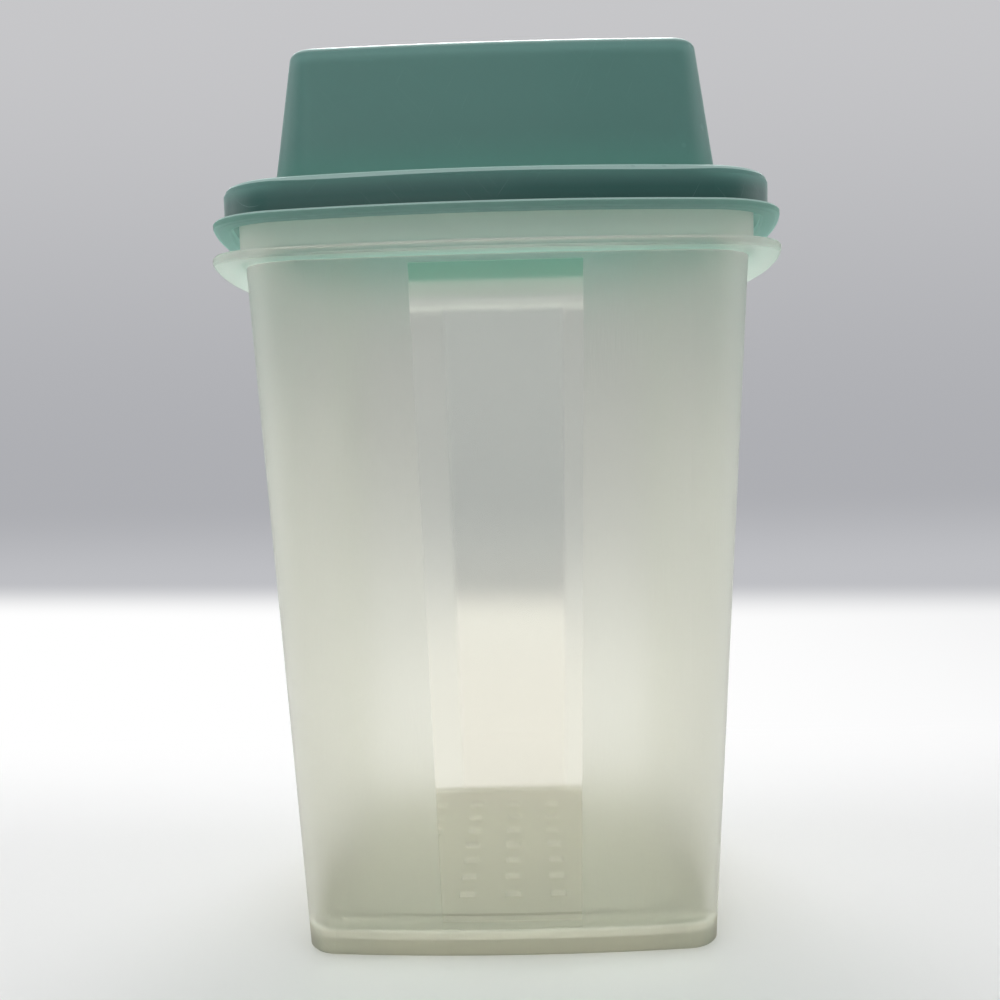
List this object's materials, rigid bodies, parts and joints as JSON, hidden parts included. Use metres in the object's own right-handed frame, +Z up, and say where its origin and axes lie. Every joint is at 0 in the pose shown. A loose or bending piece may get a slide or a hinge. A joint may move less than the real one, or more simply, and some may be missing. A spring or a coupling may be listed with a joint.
{
  "type": "pickle keeper",
  "caption": "Tall tapered square canister of frosted plastic with clear sight strips, a lid with a raised square tower, and a perforated strainer on a lift-out handle.",
  "frame": {"origin": "middle of the base, on the surface the container stands on", "axes": "+Z up along the container's height; -Y is the front, the side with a clear strip that the picture shows; +X to the right seen from the front"},
  "size_m": [0.1436, 0.1436, 0.2192],
  "materials": {
    "frosted_plastic": "frosted, translucent natural",
    "lid_plastic": "satin",
    "insert_plastic": "satin, translucent natural"
  },
  "bodies": {
    "container": {"container": "frosted_plastic"},
    "insert": {"strainer_tray": "insert_plastic", "lift_handle": "insert_plastic"},
    "lid": {"lid": "lid_plastic"}
  },
  "joints": [
    {"name": "insert_lift", "type": "slide", "parent": "container", "child": "insert", "axis": [0, 0, 1], "range_m": [0, 0.19]},
    {"name": "lid_lift", "type": "slide", "parent": "insert", "child": "lid", "axis": [0, 0, 1], "range_m": [0, 0.06]}
  ]
}
